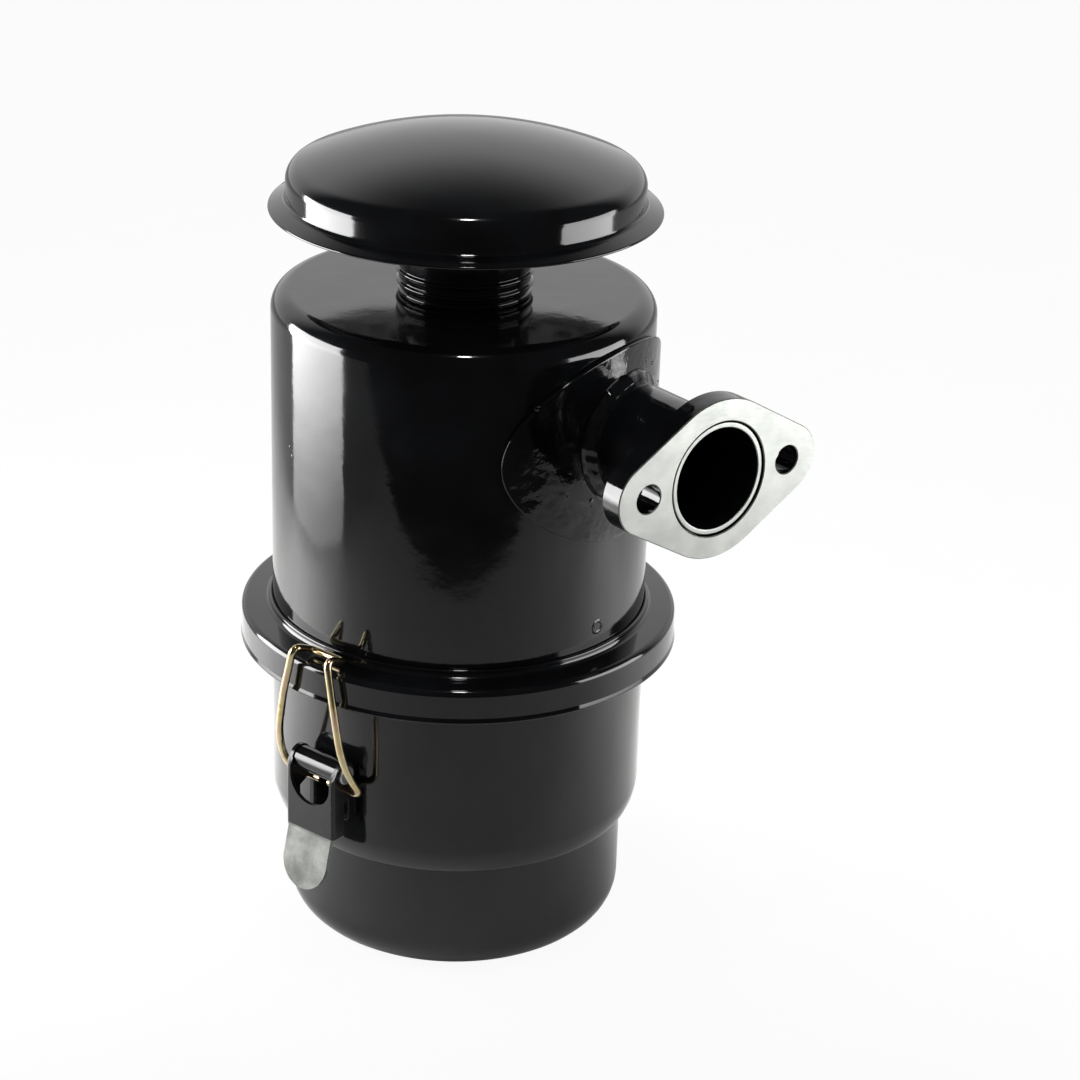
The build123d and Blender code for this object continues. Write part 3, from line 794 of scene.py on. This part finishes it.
def arc(bm, centre, radius, start, sweep):
    """A chain of edges along an arc in the YZ plane of the flange, as its first and last vertex."""
    first = bm.verts.new((0, (centre + radius * cos(start)) * MM, radius * sin(start) * MM))
    made = bmesh.ops.spin(
        bm,
        geom=[first],
        cent=(0, centre * MM, 0),
        axis=(1, 0, 0),
        dvec=(0, 0, 0),
        angle=sweep,
        steps=arc_steps,
    )
    last = [item for item in made["geom_last"] if isinstance(item, bmesh.types.BMVert)][0]
    return first, last


def place_loop(bm, edges, along):
    """Move a flat loop from the origin to its place on the outlet."""
    verts = {vert for edge in edges for vert in edge.verts}
    bmesh.ops.translate(bm, vec=(along * MM, outlet_y * MM, outlet_z * MM), verts=list(verts))


def outline(bm, along, shrink):
    """The flange's closed outline at a place along the outlet, drawn in by shrink, as its edges."""
    known = set(bm.edges)
    arcs = []
    for side, flip in ((1, 0), (-1, pi)):
        arcs.append(arc(bm, side * stud_half, stud_land - shrink, flip - tangent_angle, 2 * tangent_angle))
        arcs.append(arc(bm, 0, flange_half - shrink, flip + tangent_angle, pi - 2 * tangent_angle))
    for before, after in zip(arcs, arcs[1:] + arcs[:1]):
        bm.edges.new((before[1], after[0]))
    edges = [edge for edge in bm.edges if edge not in known]
    place_loop(bm, edges, along)
    return edges


def round_loop(bm, along, centre, radius, segments):
    """A hole's edge at a place along the outlet, as its edges."""
    known = set(bm.edges)
    turn = Matrix.Translation((0, centre * MM, 0)) @ Matrix.Rotation(radians(90), 4, "Y")
    bmesh.ops.create_circle(bm, segments=segments, radius=radius * MM, matrix=turn)
    edges = [edge for edge in bm.edges if edge not in known]
    place_loop(bm, edges, along)
    return edges


print("the tangents lean by", round(degrees(pi / 2 - tangent_angle), 1), "degrees")

# %% [markdown]
# The outline is drawn four times, drawn in for the chamfers, and the loops are bridged. Both flat sides
# are filled around the three holes, so no Boolean is needed. Only the front face is bare: its back and
# sides kept their paint.

# %% Outlet flange
bore_gap = 0.6
face_edge = 0.3
back_edge = 0.8
hole_edge = 0.8 * face_edge
front_x = outlet_high.x
holes = (
    (0, pipe_radius + bore_gap, 96),
    (stud_half, stud_radius, 48),
    (-stud_half, stud_radius, 48),
)
flange = bmesh.new()
rings = [
    outline(flange, flange_back, back_edge),
    outline(flange, flange_back + back_edge, 0),
    outline(flange, front_x - face_edge, 0),
    outline(flange, front_x, face_edge),
]
for first, second in zip(rings, rings[1:]):
    bmesh.ops.bridge_loops(flange, edges=first + second)
back_loops, front_loops = [rings[0]], [rings[-1]]
for centre, radius, segments in holes:
    hole_rings = [
        round_loop(flange, flange_back, centre, radius, segments),
        round_loop(flange, front_x - face_edge, centre, radius, segments),
        round_loop(flange, front_x, centre, radius + hole_edge, segments),
    ]
    for first, second in zip(hole_rings, hole_rings[1:]):
        bmesh.ops.bridge_loops(flange, edges=first + second)
    back_loops.append(hole_rings[0])
    front_loops.append(hole_rings[-1])
for rims, way in ((back_loops, -1), (front_loops, 1)):
    edges = [edge for rim in rims for edge in rim]
    bmesh.ops.triangle_fill(flange, use_beauty=True, edges=edges, normal=(way, 0, 0))
bmesh.ops.recalc_face_normals(flange, faces=flange.faces)
for face in flange.faces:
    bare = face.calc_center_median().x > (front_x - face_edge) * MM
    face.material_index = 0 if bare else 1
flange_paint = [machined_steel, enamel_runs]
make_piece(flange, "flange_plate", "filter", flange_paint, ["outlet_flange"], sharp=25)

# %% [markdown]
# The bail is one springy wire with long soft bends in its legs. A circle at one end of its bent line is
# extruded from point to point, and at each it is turned to lie between the two runs. A curve with a bevel
# depth is the usual way, but the extrusion gives a mesh whose ends can be filled at once.


# %% Bent wire
def bent_wire(points, radius, sides=20):
    """A round wire along points (x, y, z, bend radius), by one circle that is extruded bend by bend."""
    chain = bent_chain(points, degrees_each=6)
    here = min(chain.verts, key=lambda vert: (vert.co - Vector(points[0][:3]) * MM).length)
    path, last = [here.co.copy()], None
    while True:
        onward = [edge for edge in here.link_edges if edge is not last]
        if not onward:
            break
        last = onward[0]
        here = last.other_vert(here)
        path.append(here.co.copy())
    chain.free()
    runs = [(b - a).normalized() for a, b in zip(path, path[1:])]
    headings = [runs[0]] + [(a + b).normalized() for a, b in zip(runs, runs[1:])] + [runs[-1]]
    wire = bmesh.new()
    facing = Vector((0, 0, 1)).rotation_difference(headings[0]).to_matrix().to_4x4()
    bmesh.ops.create_circle(
        wire, segments=sides, radius=radius * MM, matrix=Matrix.Translation(path[0]) @ facing, cap_ends=False
    )
    ring_of_edges = wire.edges[:]
    for i in range(1, len(path)):
        made = bmesh.ops.extrude_edge_only(wire, edges=ring_of_edges)["geom"]
        ring_of_edges = [item for item in made if isinstance(item, bmesh.types.BMEdge)]
        moved = [item for item in made if isinstance(item, bmesh.types.BMVert)]
        swing = headings[i - 1].rotation_difference(headings[i]).to_matrix()
        bmesh.ops.rotate(wire, verts=moved, cent=path[i - 1], matrix=swing)
        bmesh.ops.translate(wire, verts=moved, vec=path[i] - path[i - 1])
    bmesh.ops.holes_fill(wire, edges=wire.edges, sides=sides)
    bmesh.ops.recalc_face_normals(wire, faces=wire.faces)
    return wire


wire_radius = 1.2
print("wire, mm:", 2 * wire_radius)

# %% [markdown]
# The wire runs from a stub in one ear of the lever, out and up over the ring, through a narrower hook
# that presses on the ring's band, and down the same way to the other ear. Its top leans a little to one
# side, as in the picture. The leg's corners are given as shares of its width and rise.

# %% The bail's shape
pivots = {joint["name"]: Vector(joint["pos_m"]) / MM for joint in frame["joints"]}
stub_gap = 1.8
foot_half = 15.2
hook_half = 6.6
hook_step = 3.0
hook_gap = 0.3
hook_lean = 2.0
leg_gap = 0.7
leg_reach = ring_radius + leg_gap + wire_radius
hook_reach = shell_radius + slip + ring_sheet + hook_step
hook_height = ring_top - collar_rise + hook_gap + wire_radius
hook_rise = 3 * wire_radius


def bail_points(pivot):
    """The bail's corners in its own plane, pivot given as reach and height, and one bend radius each."""
    reach_out, foot = pivot
    top = hook_height + hook_rise
    rise = top - foot
    leg = [
        (foot_half, reach_out, foot, 2.9),
        (0.9 * foot_half, leg_reach - wire_radius, foot + 0.26 * rise, 34.0),
        (0.48 * (foot_half + hook_half), leg_reach, foot + 0.66 * rise, 90.0),
        (1.05 * hook_half, leg_reach, top, 2.1),
        (hook_half, hook_reach, hook_height, 1.7),
    ]
    points = [(reach_out, -stub_gap, foot, 0)]
    for hand, way in ((-1, leg), (1, leg[::-1])):
        for width, out, height, radius in way:
            points.append((out, hand * width + hook_lean * (height - foot) / rise, height, radius))
    return points + [(reach_out, stub_gap, foot, 0)]


print("hook, mm from the axis and up:", round(hook_reach, 2), round(hook_height, 2))

# %% [markdown]
# The other pieces of a latch are small and their forms are already right in the frame, so each is a
# merged copy of its node: doubles are merged, flat areas lose their triangles, and a Bevel modifier
# breaks the edges that sheet metal never has sharp. On each lever the thumb tab has been rubbed and
# scraped bare, so the mesh is cut at the bend and the tab gets its own metal.

# %% Both latches
tab_height = 18.6
bracket_edge = 0.25
lever_edge = 0.3
flat_angle = radians(0.5)


def merged_copy(node):
    """A bmesh of a CAD node's mesh, joined up and with its flat areas as single faces."""
    copy = bmesh.new()
    copy.from_mesh(nodes[node].data)
    bmesh.ops.remove_doubles(copy, verts=copy.verts, dist=0.001 * MM)
    bmesh.ops.dissolve_limit(copy, angle_limit=flat_angle, verts=copy.verts, edges=copy.edges)
    return copy


for side in ("front", "rear"):
    node = f"{side}_latch_bracket"
    bracket = make_piece(merged_copy(node), f"{side}_bracket", "filter", [enamel], [node])
    break_edges(bracket, bracket_edge)

    node = f"{side}_latch_pin"
    even_shading(make_piece(merged_copy(node), f"{side}_pin", "filter", [zinc_steel], [node]))

    node = f"{side}_latch_lever"
    lever_mesh = merged_copy(node)
    tab_line = low(node) + tab_height
    bmesh.ops.bisect_plane(
        lever_mesh,
        geom=lever_mesh.verts[:] + lever_mesh.edges[:] + lever_mesh.faces[:],
        plane_co=(0, 0, tab_line * MM),
        plane_no=(0, 0, 1),
    )
    for face in lever_mesh.faces:
        face.material_index = 1 if face.calc_center_median().z < tab_line * MM else 0
    name = f"{side}_lever"
    lever = make_piece(lever_mesh, name, name, [enamel_latch, worn_steel], [node])
    break_edges(lever, lever_edge)

    node = f"{side}_latch_bail"
    pivot = pivots[f"{side}_bail_pivot"]
    bail = bent_wire(bail_points((pivot.xy.length, pivot.z)), wire_radius)
    bmesh.ops.rotate(bail, verts=bail.verts, matrix=Matrix.Rotation(atan2(pivot.y, pivot.x), 3, "Z"))
    make_piece(bail, f"{side}_wire", f"{side}_bail", [yellow_zinc], [node], sharp=60)

# %% [markdown]
# Arc welding throws small drops of steel on the wall round the outlet, and the paint covers them. A drop
# is a low dome, so each is a small flattened sphere with its lower half in the wall. Five lie where the
# picture shows one, given by their angle round the axis, height and radius. The others are strewn with
# a fixed seed, most of them near the bead.

# %% Weld spatter
drop_height = 0.4
strewn_drops = 12
strewn_radii = (0.35, 0.8)
strewn_gap = 0.5
strewn_spread = 3
seed = 7
plate_half_angle = 0.6
spatter = bmesh.new()
scatter = Random(seed)
drops = [(radians(-16.4), 197.0, 0.9), (radians(11.6), 187.0, 0.7)]
drops += [(radians(-98.5), 172.0, 0.5), (radians(-97.0), 169.5, 0.6), (radians(-96.2), 171.5, 0.4)]
for _ in range(strewn_drops):
    angle = scatter.uniform(0, 2 * pi)
    from_pipe = pipe_radius + weld_leg + strewn_gap + abs(scatter.gauss(0, strewn_spread))
    height = outlet_z + from_pipe * sin(angle)
    sideways = outlet_y + from_pipe * cos(angle)
    drops.append((asin(sideways / doubler_face), height, scatter.uniform(*strewn_radii)))
for angle, height, radius in drops:
    beside_outlet = abs(angle - doubler_angle) < plate_half_angle
    on_plate = beside_outlet and abs(height - doubler_z) < doubler_half_height
    wall = doubler_face if on_plate else shell_radius
    centre = Vector((wall * cos(angle), wall * sin(angle), height)) * MM
    flattened = Matrix.Rotation(angle, 4, "Z") @ Matrix.Diagonal((drop_height, 1, 1, 1))
    bmesh.ops.create_icosphere(
        spatter, subdivisions=3, radius=radius * MM, matrix=Matrix.Translation(centre) @ flattened
    )
make_piece(spatter, "weld_spatter", "filter", [enamel_runs], sharp=80)

# %% [markdown]
# Low on the wall, under the outlet, a speck of grease kept the wet paint off and left a fish eye: a
# shallow crater with a raised lip. The film is too thin to model its pit, so the lip alone is a flat ring.

# %% Fish eye in the paint
eye_angle = radians(8.6)
eye_height = 119.0
eye_radius = 1.9
eye_turns = 60
lip_rise = 0.3
lip = rounded_chain(
    [
        (0.4 * eye_radius, -lip_rise, 0.1),
        (1.6 * eye_radius, -lip_rise, 0.1),
        (eye_radius, lip_rise, 0.8),
    ],
    closed=True,
)
spin_round(lip, eye_turns)
bmesh.ops.transform(
    lip,
    verts=lip.verts,
    matrix=Matrix.Rotation(eye_angle, 4, "Z")
    @ Matrix.Translation(Vector((shell_radius, 0, eye_height)) * MM)
    @ Matrix.Rotation(radians(90), 4, "Y"),
)
make_piece(lip, "paint_fish_eye", "filter", [enamel_wall], sharp=60)

# %% [markdown]
# The pieces inside stay as the frame has them, since only their finish was missing: galvanised screens,
# baffle and spring ring, pads of knitted wire, a rubber gasket, and enamel on the tube and the inlet
# plate.

# %% Finishes for the pieces that stay
finishes = {
    "cap_inlet_plate": enamel,
    "centre_tube": enamel,
    "upper_screen": galvanised,
    "middle_screen": galvanised,
    "lower_screen": galvanised,
    "screen_retainer": galvanised,
    "oil_baffle": galvanised,
    "upper_mesh_pack": knitted_wire,
    "lower_mesh_pack": knitted_wire,
    "bowl_gasket": nitrile,
}
for node, material in finishes.items():
    for slot in nodes[node].material_slots:
        slot.link = "OBJECT"
        slot.material = material
print("finished nodes:", len(finishes))

# %% [markdown]
# The photograph was taken on a white sheet with a tall light on each side and a dark room beyond. Black
# gloss shows that room, so the room matters more than the lamps. The paper's colour carries painted shade:
# white behind the object and darker in front of it. The camera sees it nearly white, and the object's
# shadow shows faintly through.

# %% Floor
floor_half_width = 2600
floor_half_depth = 2250
floor_middle = 1900
painted_shade_near, painted_shade_far = -0.16, 0.08
painted_front_brightness = 0.4
whiteness = 0.93
floor_mesh = bmesh.new()
bmesh.ops.create_grid(floor_mesh, x_segments=1, y_segments=1, size=1)
for vert in floor_mesh.verts:
    vert.co = seen(floor_half_width * vert.co.x, floor_middle + floor_half_depth * vert.co.y, 0)
floor = add_mesh("floor", floor_mesh)

away = camera_turn @ Vector((0, 1, 0))
paper = bpy.data.materials.new("white_paper")
paper.use_nodes = True
tree = paper.node_tree
tree.nodes.clear()
for_camera = add(tree, "LightPath").outputs["Is Camera Ray"]
place = add(tree, "TexCoord").outputs["Object"]
grain = add(tree, "TexNoise", {"Vector": place, "Scale": per(40), "Detail": 3.0}).outputs["Fac"]
paper_white = add(tree, "ValToRGB", {"Fac": grain}, stops=[(0.35, "#ececeb"), (0.65, "#f2f2f1")])
depth = add(tree, "VectorMath", {0: place, 1: away}, operation="DOT_PRODUCT").outputs["Value"]
# Painted shade: the paper's colour falls from full white behind the object to 0.4 of it in front.
shade = add(
    tree,
    "MapRange",
    {"Value": depth, "From Min": painted_shade_near, "From Max": painted_shade_far, "To Min": painted_front_brightness},
    interpolation_type="SMOOTHSTEP",
)
paper_with_painted_shade = add(
    tree, "VectorMath", {0: paper_white.outputs["Color"], "Scale": shade.outputs[0]}, operation="SCALE"
)
lit = add(tree, "BsdfDiffuse", {"Color": paper_with_painted_shade.outputs[0]}).outputs[0]
white = add(tree, "Emission", {"Color": linear("#ffffff"), "Strength": 1.0}).outputs[0]
for_view = add(tree, "MixShader", {0: whiteness, 1: lit, 2: white}).outputs[0]
paper_mix = add(tree, "MixShader", {0: for_camera, 1: lit, 2: for_view})
add(tree, "OutputMaterial", {"Surface": paper_mix.outputs[0]})
floor.data.materials.append(paper)
print("floor, mm:", 2 * floor_half_width, "by", 2 * floor_half_depth)

# %% [markdown]
# The world has one white wall, straight behind the object, which fades out above and to both sides, and
# is nearly black elsewhere. The camera itself sees only white. All that is the world as gloss shows it:
# plain surfaces get an even, dimmer daylight instead.

# %% Room
wall_fade_up = (0.5, 0.9)
wall_fade_side = (0.3, 0.7)
room_dark = 0.035
daylight = 0.42
world = bpy.data.worlds.new("room")
bpy.context.scene.world = world
world.use_nodes = True
tree = world.node_tree
tree.nodes.clear()
rays = add(tree, "LightPath").outputs
direction = add(tree, "TexCoord").outputs["Generated"]
behind = add(tree, "VectorMath", {0: direction, 1: away}, operation="DOT_PRODUCT").outputs["Value"]
up = add(tree, "SeparateXYZ", {0: direction}).outputs["Z"]
wall_end = add(
    tree,
    "MapRange",
    {"Value": up, "From Min": wall_fade_up[0], "From Max": wall_fade_up[1], "To Min": 1.0, "To Max": 0.0},
    interpolation_type="SMOOTHSTEP",
)
wall_side = add(
    tree,
    "MapRange",
    {"Value": behind, "From Min": wall_fade_side[0], "From Max": wall_fade_side[1]},
    interpolation_type="SMOOTHSTEP",
)
lit_wall = add(tree, "Math", {0: wall_end.outputs[0], 1: wall_side.outputs[0]}, operation="MULTIPLY")
backdrop = add(tree, "Math", {0: lit_wall.outputs[0], 1: rays["Is Camera Ray"]}, operation="MAXIMUM")
glow = add(tree, "MapRange", {"Value": backdrop.outputs[0], "To Min": room_dark, "To Max": 1.0})
in_view = add(tree, "Math", {0: rays["Is Camera Ray"], 1: rays["Is Glossy Ray"]}, operation="MAXIMUM")
all_seen = add(tree, "Math", {0: in_view.outputs[0], 1: rays["Is Transmission Ray"]}, operation="MAXIMUM")
room = add(tree, "Background", {"Color": linear("#ffffff"), "Strength": glow.outputs[0]})
even_light = add(tree, "Background", {"Color": linear("#ffffff"), "Strength": daylight})
world_mix = add(tree, "MixShader", {0: all_seen.outputs[0], 1: even_light.outputs[0], 2: room.outputs[0]})
add(tree, "OutputWorld", {"Surface": world_mix.outputs[0]})
print("room:", world.name, "with daylight of", daylight)

# %% [markdown]
# Two softboxes stand left and right, some 40 cm off. They give the upright bright bars on the shell and
# the short ones on the cap's band, and both are weaker at the foot, where the bars in the picture fade
# out. A wide one overhead lights the floor but is hidden from reflections, and a small lamp under the
# ceiling gives the beads, the welds and the ring their little highlights.

# %% Lamps
dim_share = (0.02, 0.45)


def softbox(name, place, target, width, height, watts, dim_foot=None):
    """A rectangular area light at a place, facing a target, both from the photographer's side.

    dim_foot is the strength at its lower edge, for a box that is lit from above.
    """
    data = bpy.data.lights.new(name, "AREA")
    data.shape = "RECTANGLE"
    data.size = width * MM
    data.size_y = height * MM
    data.energy = watts
    if dim_foot:
        data.use_nodes = True
        tree = data.node_tree
        across = add(tree, "SeparateXYZ", {0: add(tree, "NewGeometry").outputs["Parametric"]}).outputs["Y"]
        fade = {"Value": across, "From Min": dim_share[0], "From Max": dim_share[1], "To Min": dim_foot}
        strength = tree.nodes["Emission"].inputs["Strength"]
        add(tree, "MapRange", fade, interpolation_type="SMOOTHSTEP", into=strength)
    lamp = add_object(name, data)
    lamp.location = seen(*place)
    lamp.rotation_euler = (seen(*target) - seen(*place)).to_track_quat("-Z", "Y").to_euler()
    lamp.visible_camera = False
    print(f"{name}: {watts} W")
    return lamp


softbox("left_softbox", (-360, 10, 150), (0, 10, 150), 290, 300, 4.0, dim_foot=0.16)
softbox("right_softbox", (420, -90, 150), (0, -90, 150), 320, 300, 2.0, dim_foot=0.08)
top_softbox = softbox("top_softbox", (0, 150, 1100), (0, 0, 150), 700, 500, 4.0)
top_softbox.visible_glossy = False
softbox("ceiling_lamp", (10, -250, 900), (0, 0, 200), 60, 60, 1.0)
bpy.context.scene.view_settings.view_transform = "Standard"
